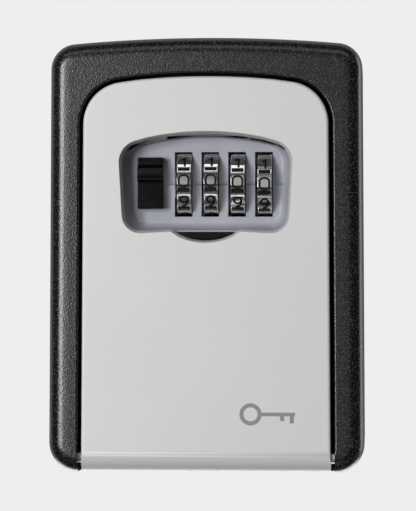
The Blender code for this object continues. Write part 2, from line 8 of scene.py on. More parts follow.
import bmesh
import bpy
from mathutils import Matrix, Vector


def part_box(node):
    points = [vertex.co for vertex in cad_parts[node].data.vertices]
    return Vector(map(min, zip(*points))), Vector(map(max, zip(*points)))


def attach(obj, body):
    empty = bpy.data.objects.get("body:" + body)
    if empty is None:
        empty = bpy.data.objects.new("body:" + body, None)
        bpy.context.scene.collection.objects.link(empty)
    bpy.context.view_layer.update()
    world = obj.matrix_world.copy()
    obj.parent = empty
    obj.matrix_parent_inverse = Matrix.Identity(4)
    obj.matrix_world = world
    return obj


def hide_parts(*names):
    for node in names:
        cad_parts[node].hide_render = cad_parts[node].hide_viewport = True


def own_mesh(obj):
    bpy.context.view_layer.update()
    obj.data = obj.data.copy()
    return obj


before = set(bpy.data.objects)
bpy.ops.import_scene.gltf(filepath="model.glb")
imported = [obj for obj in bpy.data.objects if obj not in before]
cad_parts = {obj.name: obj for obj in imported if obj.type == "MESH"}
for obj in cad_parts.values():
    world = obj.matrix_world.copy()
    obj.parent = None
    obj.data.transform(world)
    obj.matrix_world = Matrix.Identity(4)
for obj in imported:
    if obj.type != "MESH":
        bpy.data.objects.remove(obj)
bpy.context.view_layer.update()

MM = 0.001
BOTTOM, TOP, DEPTH = -59.0, 59.0, 36.0
SIDES_BEGIN = -31.0                             # faces whose middle is behind this are side, back or cavity
HINGE_Y, HINGE_Z = -32.0, -55.0
PIN_HOLE_RADIUS = 1.8
RELIEF_RADIUS = 4.0                             # from the hinge to the front of the door's bottom rounding
RELIEF_START, DOOR_BOTTOM = -52.8, -58.7        # where that rounding begins and ends
DOOR_PLATE_BACK = -34.0
GUIDE_FRONT = -32.9                             # inner end of the door's shutter guides and screw bosses
MARK_BACK, MARK_FRONT = -35.98, -36.012
DIAL_XS = [-6.2, 1.13, 8.46, 15.79]
DIAL_TILTS = [-5.6, -6.2, -3.6, -0.5]           # degrees that each dial stands off its number
DIGIT_COUNT = 10
DIGIT_HEIGHT, DIGIT_LINE_WIDTH = 3.35, 0.58
DIGIT_RADIUS = 9.18
DIAL_Y, DIAL_Z = -22.8, 19.3
DIAL_HALF_WIDTH = 1.95
DIAL_LIP, DIAL_GAP = 9.45, 9.1                  # radii of the lip round a number and of the gap beside it
DIAL_BORE_RADIUS, DIAL_SLOT_RADIUS = 2.9, 9.9
DIAL_SLOT_LEFT, DIAL_SLOT_RIGHT = -2.75, 2.1
GROOVE_HALF_WIDTH, GROOVE_FLOOR = 1.6, 8.8
FLANGE_FRONT, FLANGE_BACK = -32.6, -31.4
PANEL_FACE, PANEL_BACK = -27.3, -26.1
BUTTON_X, BUTTON_Z = -15.35, 19.6


# ---------------------------------------------------------------- outlines

def arch_height(x, crown, radius):
    return crown - radius + math.sqrt(radius * radius - x * x)


def fillet(before, corner, after, radius, steps):
    """Points of the arc that rounds a corner, from the side of `before` to the side of `after`."""
    to_before = (Vector(before) - Vector(corner)).normalized()
    to_after = (Vector(after) - Vector(corner)).normalized()
    half_angle = to_before.angle(to_after) / 2
    centre = Vector(corner) + (to_before + to_after).normalized() * radius / math.sin(half_angle)
    reach = radius / math.tan(half_angle)
    start = Vector(corner) + to_before * reach - centre
    end = Vector(corner) + to_after * reach - centre
    first = math.atan2(start.y, start.x)
    sweep = math.atan2(end.y, end.x) - first
    sweep = (sweep + math.pi) % (2 * math.pi) - math.pi
    angles = [first + sweep * i / steps for i in range(steps + 1)]
    return [(centre.x + radius * math.cos(a), centre.y + radius * math.sin(a)) for a in angles]


def rounded(corners):
    """Outline from (x, z, radius, steps) corners; a radius of 0 keeps the corner sharp."""
    outline = []
    for index, (x, z, radius, steps) in enumerate(corners):
        before = corners[index - 1][:2]
        after = corners[(index + 1) % len(corners)][:2]
        if radius == 0:
            outline.append((x, z))
        else:
            outline.extend(fillet(before, (x, z), after, radius, steps))
    return outline


def grow(outline, distance):
    """The outline, given counter-clockwise, moved outwards by a distance."""
    moved = []
    for index, point in enumerate(outline):
        here = Vector(point)
        arriving = (here - Vector(outline[index - 1])).normalized()
        leaving = (Vector(outline[(index + 1) % len(outline)]) - here).normalized()
        normal_in = Vector((arriving.y, -arriving.x))
        normal_out = Vector((leaving.y, -leaving.x))
        bisector = (normal_in + normal_out).normalized()
        moved.append(tuple(here + bisector * distance / bisector.dot(normal_in)))
    return moved


def arch_points(half_width, crown, radius, count):
    xs = [half_width - 2 * half_width * i / (count - 1) for i in range(count)]
    return [(x, arch_height(x, crown, radius), 0, 0) for x in xs]


def arched_plate(half_bottom, half_top, bottom, crown, arch_radius, bottom_corner, top_corner):
    shoulder = arch_height(half_top, crown, arch_radius)
    corners = [(-half_bottom, bottom, bottom_corner, 12), (half_bottom, bottom, bottom_corner, 12)]
    corners.append((half_top, shoulder, top_corner, 14))
    corners.extend(arch_points(half_top - 1.3 * top_corner, crown, arch_radius, 25))
    corners.append((-half_top, shoulder, top_corner, 14))
    return rounded(corners)


def rectangle(left, right, bottom, top, radius=0.0, steps=5):
    corners = [(left, bottom), (right, bottom), (right, top), (left, top)]
    return rounded([(x, z, radius, steps) for x, z in corners])


def circle(centre, radius, count):
    turn = 2 * math.pi / count
    return [
        (centre[0] + radius * math.cos(i * turn), centre[1] + radius * math.sin(i * turn))
        for i in range(count)
    ]


def housing_outline():
    return arched_plate(43.0, 42.3, BOTTOM, TOP, 418.0, 8.0, 7.0)


def door_outline(bottom=BOTTOM, bottom_corner=0.0):
    return arched_plate(33.9, 33.2, bottom, 48.4, 192.0, bottom_corner, 11.5)


def window_upper(half_top, half_bottom, crown, sill, top_corner, bottom_corner):
    """The window's corners from its right sill corner over the arch to its left sill corner."""
    shoulder = arch_height(half_top, crown, 75.0)
    corners = [(half_bottom, sill, bottom_corner, 12), (half_top, shoulder, top_corner, 12)]
    corners.extend(arch_points(half_top - top_corner - 2, crown, 75.0, 15))
    corners.append((-half_top, shoulder, top_corner, 12))
    corners.append((-half_bottom, sill, bottom_corner, 12))
    return corners


def window_outline():
    """Window in the door, with a finger notch in the middle of its sill."""
    notch = []
    for step in range(-8, 9):
        x = 0.95 * step
        notch.append((x, 3.35 + 17.0 - math.sqrt(17.0 ** 2 - x * x), 0, 0))
    lobe = 6.4
    upper = window_upper(23.75, 22.4, 33.5, 5.7, 6.0, 5.0)
    return rounded([(-9.4, lobe, 1.2, 5)] + notch + [(9.4, lobe, 1.2, 5)] + upper)


# ---------------------------------------------------------------- meshes

def loft(name, rings):
    """Closed solid through rings of (x, y, z) points, each ring with the same number of points."""
    bm = bmesh.new()
    layers = [[bm.verts.new([c * MM for c in point]) for point in ring] for ring in rings]
    count = len(rings[0])
    for lower, upper in zip(layers, layers[1:]):
        for i in range(count):
            j = (i + 1) % count
            bm.faces.new((lower[i], lower[j], upper[j], upper[i]))
    bm.faces.new(layers[0][::-1])
    bm.faces.new(layers[-1])
    bmesh.ops.recalc_face_normals(bm, faces=bm.faces)
    mesh = bpy.data.meshes.new(name)
    bm.to_mesh(mesh)
    bm.free()
    made = bpy.data.objects.new(name, mesh)
    bpy.context.scene.collection.objects.link(made)
    return made


def across_y(outline, y):
    return [(x, y, z) for x, z in outline]


def prism_y(name, outline, back, front):
    return loft(name, [across_y(outline, back), across_y(outline, front)])


def prism_x(name, outline, left, right):
    return loft(name, [[(x, y, z) for y, z in outline] for x in (left, right)])


def box(name, xs, ys, zs):
    return prism_y(name, rectangle(xs[0], xs[1], zs[0], zs[1]), ys[1], ys[0])


def combine(target, operation, others):
    """Applies booleans to a piece one after another and removes the cutters."""
    for other in others:
        modifier = target.modifiers.new("combine", "BOOLEAN")
        modifier.operation = operation
        modifier.solver = "EXACT"
        modifier.object = other
    depsgraph = bpy.context.evaluated_depsgraph_get()
    result = bpy.data.meshes.new_from_object(target.evaluated_get(depsgraph))
    target.modifiers.clear()
    target.data = result
    for other in others:
        bpy.data.objects.remove(other, do_unlink=True)


def cut(target, *others):
    combine(target, "DIFFERENCE", others)


def join(target, *others):
    combine(target, "UNION", others)


def shade(piece, angle=30.0):
    """Smooth shading that stays flat on flat faces and breaks at real edges."""
    piece.data.shade_smooth()
    piece.data.set_sharp_from_angle(angle=math.radians(angle))
    weighted = piece.modifiers.new("weighted_normals", "WEIGHTED_NORMAL")
    weighted.keep_sharp = True
    weighted.weight = 100


def place(piece, body, materials, nodes=()):
    """Finishes a piece: its materials, the body it rides on and the CAD nodes it stands for."""
    piece.data.materials.clear()
    for made in materials:
        piece.data.materials.append(made)
    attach(piece, body)
    if nodes:
        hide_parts(*nodes)


def rounded_front(outline, back, front, radius, steps):
    rings = [across_y(outline, back)]
    for step in range(steps + 1):
        angle = math.pi / 2 * step / steps
        ring = grow(outline, -radius * (1 - math.cos(angle)))
        rings.append(across_y(ring, front + radius - radius * math.sin(angle)))
    return rings


def crowned_front(outline, back, front):
    """Rings of a body whose front edge starts tight at the side and opens into a wide crown."""
    tight, wide, change = 4.2, 30.0, math.radians(3.5)
    inset_at_change = tight * (1 - math.sin(change))
    depth_at_change = wide * (1 - math.cos(change))
    rings = [across_y(outline, back)]
    for step in range(11):
        tilt = math.pi / 2 + (change - math.pi / 2) * step / 10
        inset = tight * (1 - math.sin(tilt))
        depth = depth_at_change + tight * (math.cos(change) - math.cos(tilt))
        rings.append(across_y(grow(outline, -inset), front + depth))
    for step in range(1, 9):
        tilt = change * (1 - step / 8)
        inset = inset_at_change + wide * (math.sin(change) - math.sin(tilt))
        rings.append(across_y(grow(outline, -inset), front + wide * (1 - math.cos(tilt))))
    return rings


def flared_mouth(outline, back, front, radius, steps):
    """Rings of a cutter that leaves a rounded edge where it comes out of a front face."""
    rings = [across_y(outline, back)]
    for step in range(steps + 1):
        angle = math.pi / 2 * step / steps
        ring = grow(outline, radius * (1 - math.cos(angle)))
        rings.append(across_y(ring, front + radius - radius * math.sin(angle)))
    rings.append(across_y(grow(outline, radius), front - 1))
    return rings


# ---------------------------------------------------------------- materials

class Shader:
    """A material's node tree with short ways to add nodes to it."""

    def __init__(self, name):
        self.material = bpy.data.materials.new(name)
        self.material.use_nodes = True
        self.tree = self.material.node_tree
        self.principled = self.tree.nodes["Principled BSDF"]
        self.coordinates = self.tree.nodes.new("ShaderNodeTexCoord").outputs["Object"]

    def node(self, kind, inputs=None, **settings):
        made = self.tree.nodes.new(kind)
        for key, value in settings.items():
            setattr(made, key, value)
        for key, value in (inputs or {}).items():
            if isinstance(value, bpy.types.NodeSocket):
                self.tree.links.new(value, made.inputs[key])
            else:
                made.inputs[key].default_value = value
        return made

    def stretched(self, scale):
        return self.node("ShaderNodeMapping", {"Vector": self.coordinates, "Scale": scale}).outputs["Vector"]

    def noise(self, scale, detail=3.0, roughness=0.5, vector=None):
        inputs = {"Vector": vector or self.coordinates, "Scale": scale}
        inputs.update({"Detail": detail, "Roughness": roughness})
        return self.node("ShaderNodeTexNoise", inputs).outputs["Fac"]

    def spread(self, value, low_in, high_in, low_out, high_out):
        inputs = {"Value": value, 1: low_in, 2: high_in, 3: low_out, 4: high_out}
        return self.node("ShaderNodeMapRange", inputs).outputs["Result"]

    def mix(self, factor, first, second):
        made = self.node("ShaderNodeMix", data_type="RGBA")
        for index, value in ((0, factor), (6, first), (7, second)):
            if isinstance(value, bpy.types.NodeSocket):
                self.tree.links.new(value, made.inputs[index])
            else:
                made.inputs[index].default_value = value
        return made.outputs[2]

    def add(self, first, second):
        return self.node("ShaderNodeMath", {0: first, 1: second}, operation="ADD").outputs[0]

    def times(self, first, second):
        return self.node("ShaderNodeMath", {0: first, 1: second}, operation="MULTIPLY").outputs[0]

    def edges(self, low, high):
        """1 on convex edges, 0 elsewhere."""
        point = self.node("ShaderNodeNewGeometry").outputs["Pointiness"]
        return self.spread(point, low, high, 0.0, 1.0)

    def bump(self, height, distance, strength=1.0, edge_radius=0.0):
        inputs = {"Height": height, "Distance": distance, "Strength": strength}
        if edge_radius:
            bevel = self.node("ShaderNodeBevel", {"Radius": edge_radius}, samples=6)
            inputs["Normal"] = bevel.outputs["Normal"]
        self.link("Normal", self.node("ShaderNodeBump", inputs).outputs["Normal"])

    def link(self, socket, value):
        self.tree.links.new(value, self.principled.inputs[socket])

    def set(self, **values):
        for key, value in values.items():
            self.principled.inputs[key.replace("_", " ")].default_value = value


def grey(value, tint=(1.0, 1.0, 1.0)):
    return (value * tint[0], value * tint[1], value * tint[2], 1.0)


def black_powder_coat(name, rough_low, rough_high, specular):
    """Black powder coat: a pebbled skin whose bumps glint, with pale flecks on the bump tops that are painted
    glints, rubbed a little paler along its edges.
    """
    shader = Shader(name)
    pebbles = shader.noise(2300.0, 2.0, 0.55)
    patches = shader.noise(70.0, 2.0)
    dark = shader.mix(shader.spread(patches, 0.3, 0.7, 0.0, 1.0), grey(0.002), grey(0.004))
    # pale flecks where the pebbles rise: painted glints, laid into the base colour as the coat's speckle
    flecked = shader.mix(shader.spread(pebbles, 0.54, 0.63, 0.0, 1.0), dark, grey(0.05))
    worn = shader.mix(shader.edges(0.56, 0.66), flecked, grey(0.03))
    shader.link("Base Color", worn)
    shader.link("Roughness", shader.spread(pebbles, 0.35, 0.65, rough_high, rough_low))
    shader.set(Specular_IOR_Level=specular)
    shader.bump(pebbles, 0.00006, 1.0)
    return shader.material


def silver_powder_coat():
    """Fine light grey powder coat with a faint metallic fleck."""
    shader = Shader("silver_powder_coat")
    fleck = shader.noise(4200.0, 3.0, 0.6)
    cloud = shader.noise(45.0, 2.0)
    skin = shader.noise(1700.0, 2.0)
    base = shader.mix(shader.spread(cloud, 0.35, 0.65, 0.0, 1.0), grey(0.61), grey(0.62))
    flecked = shader.mix(shader.spread(fleck, 0.55, 0.75, 0.0, 0.5), base, grey(0.78))
    shader.link("Base Color", flecked)
    shader.link("Roughness", shader.spread(fleck, 0.3, 0.7, 0.42, 0.56))
    shader.set(Metallic=0.15)
    shader.bump(shader.add(skin, shader.times(fleck, 0.5)), 0.00005, 0.35)
    return shader.material


def satin_bezel():
    """Blue-grey satin metallic paint."""
    shader = Shader("satin_bezel")
    fleck = shader.noise(5200.0, 3.0, 0.6)
    cloud = shader.noise(120.0, 2.0)
    tint = (0.93, 0.945, 1.07)
    base = shader.mix(shader.spread(cloud, 0.35, 0.65, 0.0, 1.0), grey(0.36, tint), grey(0.40, tint))
    flecked = shader.mix(shader.spread(fleck, 0.55, 0.75, 0.0, 0.5), base, grey(0.51, tint))
    shader.link("Base Color", flecked)
    shader.link("Roughness", shader.spread(fleck, 0.3, 0.7, 0.46, 0.6))
    shader.set(Metallic=0.1)
    shader.bump(fleck, 0.00004, 0.3, 0.00018)
    return shader.material


def nickel():
    """Bright nickel plate with fine turning marks and small scuffs."""
    shader = Shader("nickel")
    turning = shader.noise(900.0, 3.0, 0.6, shader.stretched((8.0, 1.0, 1.0)))
    scuffs = shader.noise(700.0, 4.0, 0.7)
    base = shader.mix(shader.spread(scuffs, 0.4, 0.7, 0.0, 1.0), grey(0.8, (1, 0.99, 0.97)), grey(0.6))
    shader.link("Base Color", base)
    shader.link("Roughness", shader.spread(scuffs, 0.35, 0.75, 0.07, 0.2))
    shader.set(Metallic=1.0)
    shader.bump(turning, 0.00002, 0.35, 0.00012)
    return shader.material


def black_paint():
    """Black enamel wiped into the stamped numbers and grooves."""
    shader = Shader("black_paint")
    mottle = shader.noise(1500.0, 3.0)
    shader.link("Base Color", shader.mix(mottle, grey(0.003), grey(0.01)))
    shader.link("Roughness", shader.spread(mottle, 0.3, 0.7, 0.4, 0.6))
    shader.set(Specular_IOR_Level=0.12)
    shader.bump(mottle, 0.00004, 0.3)
    return shader.material


def black_plastic(name, base, rough_low, rough_high, specular):
    """Moulded black plastic with a fine spark-eroded grain, polished where it is touched."""
    shader = Shader(name)
    grain = shader.noise(3800.0, 3.0, 0.6)
    touch = shader.noise(180.0, 2.0)
    colour = shader.mix(shader.edges(0.52, 0.62), grey(base), grey(base * 3.0))
    shader.link("Base Color", shader.mix(shader.spread(touch, 0.3, 0.7, 0.0, 0.5), colour, grey(base * 1.6)))
    shader.link("Roughness", shader.spread(touch, 0.3, 0.7, rough_low, rough_high))
    shader.set(Specular_IOR_Level=specular)
    shader.bump(grain, 0.00004, 0.3, 0.00015)
    return shader.material


def plated_metal(name, tint, light, dark, rough_low, rough_high, spangle):
    """Plated or cast metal: cloudy tone, fine grain and brighter edges."""
    shader = Shader(name)
    cloud = shader.noise(spangle, 4.0, 0.6)
    grain = shader.noise(2600.0, 3.0, 0.6)
    base = shader.mix(shader.spread(cloud, 0.35, 0.65, 0.0, 1.0), grey(dark, tint), grey(light, tint))
    bright = shader.mix(shader.times(shader.edges(0.52, 0.6), 0.6), base, grey(min(1.0, light * 1.4), tint))
    shader.link("Base Color", bright)
    shader.link("Roughness", shader.spread(shader.add(cloud, grain), 0.7, 1.3, rough_low, rough_high))
    shader.set(Metallic=1.0)
    shader.bump(grain, 0.00004, 0.3, 0.00015)
    return shader.material


def grey_print():
    """Thin grey printing ink."""
    shader = Shader("grey_print")
    mottle = shader.noise(2500.0, 3.0)
    shader.link("Base Color", shader.mix(mottle, grey(0.22), grey(0.27)))
    shader.link("Roughness", shader.spread(mottle, 0.3, 0.7, 0.45, 0.6))
    return shader.material


# ---------------------------------------------------------------- housing and door

def make_housing(front_coat, side_coat):
    shell = loft("housing", crowned_front(housing_outline(), 0.0, -DEPTH))
    cavity_outline = grow(door_outline(-55.0, 3.0), 1.0)
    cavity = loft("cavity", flared_mouth(cavity_outline, -3.0, -DEPTH, 0.55, 6))
    hinge_opening = box("hinge_opening", (-34.9, 34.9), (-DEPTH - 1, -26.5), (BOTTOM - 2, -50))
    coring = prism_y("coring", grow(housing_outline(), -2.4), 1.0, -29.0)
    keep_wall = prism_y("keep_wall", grow(door_outline(-70.0), 3.2), 2.0, -DEPTH)
    keep_floor = box("keep_floor", (-50, 50), (-DEPTH, 2), (-70, -48))
    cut(coring, keep_wall, keep_floor)
    strike = prism_y("strike", rectangle(-14, 14, 43, 50.4, 0.8), -23.5, -26.5)
    cut(shell, cavity, hinge_opening, coring)
    join(shell, strike)
    holes = [
        prism_y("wall_hole", circle((x, z), 2.5, 40), 1, -4)
        for x in (-20, 20) for z in (30, -38)
    ]
    pin_hole = prism_x("pin_hole", circle((HINGE_Y, HINGE_Z), PIN_HOLE_RADIUS, 32), -38.3, 38.3)
    cut(shell, *holes, pin_hole)
    shade(shell)
    place(shell, "housing", [front_coat, side_coat], ["housing_shell"])
    for face in shell.data.polygons:
        if face.center.y > SIDES_BEGIN * MM:
            face.material_index = 1


def hinge_relief():
    """What is taken off the door's bottom edge: a long rounding in front, inside a circle about the hinge."""
    steps = 20
    height, rear_radius = RELIEF_START - DOOR_BOTTOM, HINGE_Z - DOOR_BOTTOM
    quarter = [math.pi / 2 * step / steps for step in range(steps + 1)]
    front = [
        (HINGE_Y - RELIEF_RADIUS * math.cos(turn), RELIEF_START - height * math.sin(turn))
        for turn in quarter
    ]
    rear = [
        (HINGE_Y + rear_radius * math.sin(turn), HINGE_Z - rear_radius * math.cos(turn))
        for turn in quarter[1:]
    ]
    outside = [(-26, HINGE_Z), (-26, BOTTOM - 2), (-38, BOTTOM - 2), (-38, RELIEF_START)]
    return prism_x("hinge_relief", front + rear + outside, -40, 40)


def screw_places():
    return [(sign * 28.9, z) for z in (34.0, 8.0, -22.0) for sign in (-1, 1)]


def make_door(coat):
    door = loft("door", rounded_front(door_outline(), -27.0, -DEPTH, 0.8, 5))
    hollow = prism_y("hollow", grow(door_outline(), -2.0), -26.0, DOOR_PLATE_BACK)
    cut(door, hollow)
    guides = [
        box("guide", sorted((sign * 25.8, sign * 26.8)), (DOOR_PLATE_BACK - 0.2, GUIDE_FRONT), (-26.5, 36.0))
        for sign in (-1, 1)
    ]
    bosses = [
        prism_y("boss", circle(spot, 2.0, 28), GUIDE_FRONT, DOOR_PLATE_BACK - 0.2)
        for spot in screw_places()
    ]
    join(door, *guides, *bosses)
    holes = [prism_y("boss_hole", circle(spot, 1.2, 20), -32, -35.1) for spot in screw_places()]
    window = window_outline()
    opening = loft("window", [
        across_y(grow(window, -0.7), -33.0),
        across_y(grow(window, -0.66), -33.9),
        across_y(grow(window, -0.1), -35.72),
        across_y(grow(window, -0.02), -35.9),
        across_y(grow(window, 0.1), -DEPTH),
        across_y(grow(window, 0.1), -37.0),
    ])
    pin_hole = prism_x("door_pin_hole", circle((HINGE_Y, HINGE_Z), PIN_HOLE_RADIUS, 32), -40, 40)
    cut(door, *holes, opening, hinge_relief(), pin_hole)
    shade(door)
    place(door, "door", [coat], ["door_panel"])


def make_shutter(plastic):
    shutter = prism_y("shutter_plate", rectangle(-25.4, 25.4, -25.5, 6.3, 1.0), -32.9, -33.7)
    arc = []
    radius = 16.3
    for step in range(-10, 11):
        x = 0.52 * step
        arc.append((x, 4.45 + radius - math.sqrt(radius ** 2 - x * x)))
    lip_outline = arc + [(5.2, 5.45), (-5.2, 5.45)]
    join(shutter, prism_y("shutter_lip", lip_outline, -33.1, -35.2))
    shade(shutter)
    place(shutter, "shutter", [plastic], ["shutter"])


def make_key_mark(ink):
    """A plain key printed low on the door: a ring, a shaft and two teeth."""
    centre_x, centre_z = 12.2, -43.0
    ring = prism_y("key_mark", circle((centre_x, centre_z), 3.0, 48), MARK_BACK, MARK_FRONT)
    cut(ring, prism_y("key_eye", circle((centre_x, centre_z), 1.9, 40), -35.5, MARK_FRONT - 1))
    shaft = [(centre_x + 2.7, centre_z - 0.5), (centre_x + 12.0, centre_z - 0.5)]
    shaft += [(centre_x + 12.0, centre_z + 0.5), (centre_x + 2.7, centre_z + 0.5)]
    join(ring, prism_y("key_shaft", shaft, MARK_BACK, MARK_FRONT))
    for left, drop in ((8.0, 1.8), (10.6, 2.4)):
        tooth = rectangle(centre_x + left, centre_x + left + 1.1, centre_z - drop, centre_z)
        join(ring, prism_y("key_tooth", tooth, MARK_BACK, MARK_FRONT))
    place(ring, "door", [ink])


# ---------------------------------------------------------------- dial panel

def make_bezel(satin):
    bezel = prism_y("bezel", rectangle(-30.2, 30.2, -27.0, 38.5, 3.0), FLANGE_BACK, FLANGE_FRONT)
    rim = rounded(window_upper(23.1, 21.9, 32.5, 6.7, 5.6, 4.6))
    floor = rounded(window_upper(20.2, 19.6, 31.9, 9.0, 4.6, 3.4))
    tub = prism_y("tub", grow(rim, 1.4), PANEL_BACK, FLANGE_FRONT + 0.4)
    join(bezel, tub)
    rings = [across_y(rim, FLANGE_FRONT - 0.5)]
    for step in range(13):
        turn = math.pi / 2 * step / 12
        blend = 1 - math.cos(turn)
        ring = [(x + (fx - x) * blend, z + (fz - z) * blend) for (x, z), (fx, fz) in zip(rim, floor)]
        rings.append(across_y(ring, FLANGE_FRONT + (PANEL_FACE - FLANGE_FRONT) * math.sin(turn)))
    dish = loft("dish", rings)
    slit = prism_y("slit", grow(rim, 0.9), -25.8, -33.0)
    slit_core = prism_y("slit_core", grow(rim, -0.15), -25.0, -34.0)
    cut(slit, slit_core, box("slit_end", (-40, 40), (-34, -25), (0, 28.6)))
    bead = prism_x("index_bead", [(-27.1, 19.95), (-27.1, 18.95), (-27.8, 19.45)], -11.0, 21.5)
    slot_outline = circle((DIAL_Y, DIAL_Z), DIAL_SLOT_RADIUS, 96)
    slots = [prism_x("dial_slot", slot_outline, x + DIAL_SLOT_LEFT, x + DIAL_SLOT_RIGHT) for x in DIAL_XS]
    button_slot = box("button_slot", (BUTTON_X - 1.9, BUTTON_X + 1.9), (-29, -25), (14.4, 21.5))
    path_xs = (BUTTON_X - 3.85, BUTTON_X + 3.85)
    button_path = box("button_path", path_xs, (-33.6, PANEL_FACE), (9.0, BUTTON_Z))
    holes = [prism_y("flange_hole", circle(spot, 1.2, 20), -30, -34) for spot in screw_places()]
    cut(bezel, dish)
    join(bezel, bead)
    cut(bezel, slit, *slots, button_slot, button_path, *holes)
    shade(bezel)
    place(bezel, "door", [satin], ["dial_bezel"])


def dial_ring(tilt, shrink, grooved):
    """Cross-section of a dial: each digit's flat has chamfered ends, then come a lip and a black groove."""
    floor = GROOVE_FLOOR if grooved else DIAL_LIP
    groove_end = DIAL_GAP if grooved else DIAL_LIP
    cell = [(-10.8, 9.08), (-5.8, 9.227), (10.1, 9.325), (14.0, 9.33), (14.2, DIAL_GAP), (14.8, DIAL_GAP)]
    cell += [(15.1, DIAL_LIP), (16.9, DIAL_LIP), (17.5, floor), (24.3, floor), (24.9, groove_end)]
    points = []
    for digit in range(DIGIT_COUNT):
        for angle, radius in cell:
            turned = math.radians(digit * 360 / DIGIT_COUNT + angle - tilt)
            reach = radius - shrink
            points.append((DIAL_Y - reach * math.cos(turned), DIAL_Z + reach * math.sin(turned)))
    return points


def make_dial(number, x, tilt, metal, paint):
    half = [(DIAL_HALF_WIDTH, 0.14, False), (1.84, 0.0, False)]
    half += [(GROOVE_HALF_WIDTH + 0.02, 0.0, False), (GROOVE_HALF_WIDTH, 0.0, True)]
    stations = [(-dx, shrink, grooved) for dx, shrink, grooved in half] + half[::-1]
    rings = [
        [(x + dx, y, z) for y, z in dial_ring(tilt, shrink, grooved)]
        for dx, shrink, grooved in stations
    ]
    dial = loft(f"number_dial_{number}", rings)
    bore = prism_x("dial_bore", circle((DIAL_Y, DIAL_Z), DIAL_BORE_RADIUS, 40), x - 3, x + 3)
    cut(dial, bore)
    shade(dial, 12)
    place(dial, f"dial_{number}", [metal, paint], [f"dial_{number}"])
    for face in dial.data.polygons:
        centre = face.center / MM
        radius = math.hypot(centre.y - DIAL_Y, centre.z - DIAL_Z)
        on_side = abs(centre.x - x) > GROOVE_HALF_WIDTH
        face.material_index = 1 if abs(radius - GROOVE_FLOOR) < 0.04 and not on_side else 0


def arc(cx, cz, rx, rz, start, end, steps=12):
    """Points on an ellipse between two angles in degrees."""
    points = []
    for i in range(steps + 1):
        angle = math.radians(start + (end - start) * i / steps)
        points.append((cx + rx * math.cos(angle), cz + rz * math.sin(angle)))
    return points


def rounded_loop():
    """A nearly square nought."""
    half_width, half_height, squareness, steps = 0.4, 0.46, 0.72, 32
    points = []
    for i in range(steps + 1):
        angle = 2 * math.pi * i / steps
        c, s = math.cos(angle), math.sin(angle)
        u = half_width * math.copysign(abs(c) ** squareness, c)
        v = half_height * math.copysign(abs(s) ** squareness, s)
        points.append((u, v))
    return points


# The lines of each digit: (u, v) points across and up from its middle, as shares of DIGIT_HEIGHT.
DIGITS = [
    [rounded_loop()],
    [[(-0.22, 0.22), (-0.05, 0.32), (0.07, 0.46), (0.07, -0.46)]],
    [arc(0, 0.2, 0.3, 0.26, 170, -20) + [(-0.3, -0.45), (0.33, -0.45)]],
    [arc(0, 0.22, 0.27, 0.24, 150, -80) + arc(0, -0.22, 0.3, 0.24, 85, -150)],
    [[(0.15, -0.46), (0.15, 0.46), (-0.32, -0.18), (0.34, -0.18)]],
    [[(0.28, 0.45), (-0.22, 0.45), (-0.25, 0.06)] + arc(0, -0.16, 0.31, 0.29, 130, -150)],
    [[(0.2, 0.46)] + arc(0.02, -0.16, 0.3, 0.3, 150, 510, 22)],
    [[(-0.3, 0.45), (0.3, 0.45), (-0.05, -0.46)]],
    [arc(0, 0.23, 0.24, 0.22, -90, 270, 20), arc(0, -0.22, 0.29, 0.24, 90, 450, 20)],
    [arc(0, 0.17, 0.3, 0.28, -10, 350, 22), arc(-0.1, 0.17, 0.4, 0.63, -5, -100, 10)],
]


def stroke(name, path, width, to_facet):
    """Thin raised line along a path of (u, v) points."""
    rings = []
    for index, point in enumerate(path):
        before = Vector(path[max(index - 1, 0)])
        after = Vector(path[min(index + 1, len(path) - 1)])
        along = (after - before).normalized()
        side = Vector((-along.y, along.x)) * width / 2
        left, right = Vector(point) + side, Vector(point) - side
        corners = ((left, -0.05), (right, -0.05), (right, 0.025), (left, 0.025))
        rings.append([to_facet(corner, height) for corner, height in corners])
    return loft(name, rings)


def make_digits(number, x, tilt, paint):
    strokes = []
    for digit, paths in enumerate(DIGITS):
        turned = math.radians(digit * 360 / DIGIT_COUNT - tilt)
        outward = Vector((0, -math.cos(turned), math.sin(turned)))
        upward = Vector((0, math.sin(turned), math.cos(turned)))
        middle = Vector((x, DIAL_Y, DIAL_Z)) + outward * DIGIT_RADIUS

        def to_facet(point, height):
            return tuple(middle + Vector((1, 0, 0)) * point.x + upward * point.y + outward * height)

        for path in paths:
            sized = [(u * DIGIT_HEIGHT, v * DIGIT_HEIGHT) for u, v in path]
            strokes.append(stroke("digit_stroke", sized, DIGIT_LINE_WIDTH, to_facet))
    numbers = strokes[0]
    merged = bmesh.new()
    for part in strokes:
        merged.from_mesh(part.data)
    mesh = bpy.data.meshes.new(f"dial_numbers_{number}")
    merged.to_mesh(mesh)
    merged.free()
    for part in strokes[1:]:
        bpy.data.objects.remove(part, do_unlink=True)
    numbers.data = mesh
    numbers.name = f"dial_numbers_{number}"
    place(numbers, f"dial_{number}", [paint])


def make_return_spring(steel):
    """Compression coil under the latch slide."""
    low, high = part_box("latch_spring")
    centre = (low + high) / 2 / MM
    bottom, top = low.z / MM, high.z / MM
    wire, turns, per_turn, sides = 0.3, 5, 24, 10
    coil_radius = (high.x - low.x) / 2 / MM - wire
    rings = []
    for step in range(turns * per_turn + 1):
        turn = 2 * math.pi * step / per_turn
        height = bottom + wire + (top - bottom - 2 * wire) * step / (turns * per_turn)
        ring = []
        for side in range(sides):
            around = 2 * math.pi * side / sides
            radius = coil_radius + wire * math.cos(around)
            ring.append((
                centre.x + radius * math.cos(turn), centre.y + radius * math.sin(turn),
                height + wire * math.sin(around),
            ))
        rings.append(ring)
    spring = loft("return_spring", rings)
    shade(spring, 50)
    place(spring, "door", [steel], ["latch_spring"])
    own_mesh(spring)


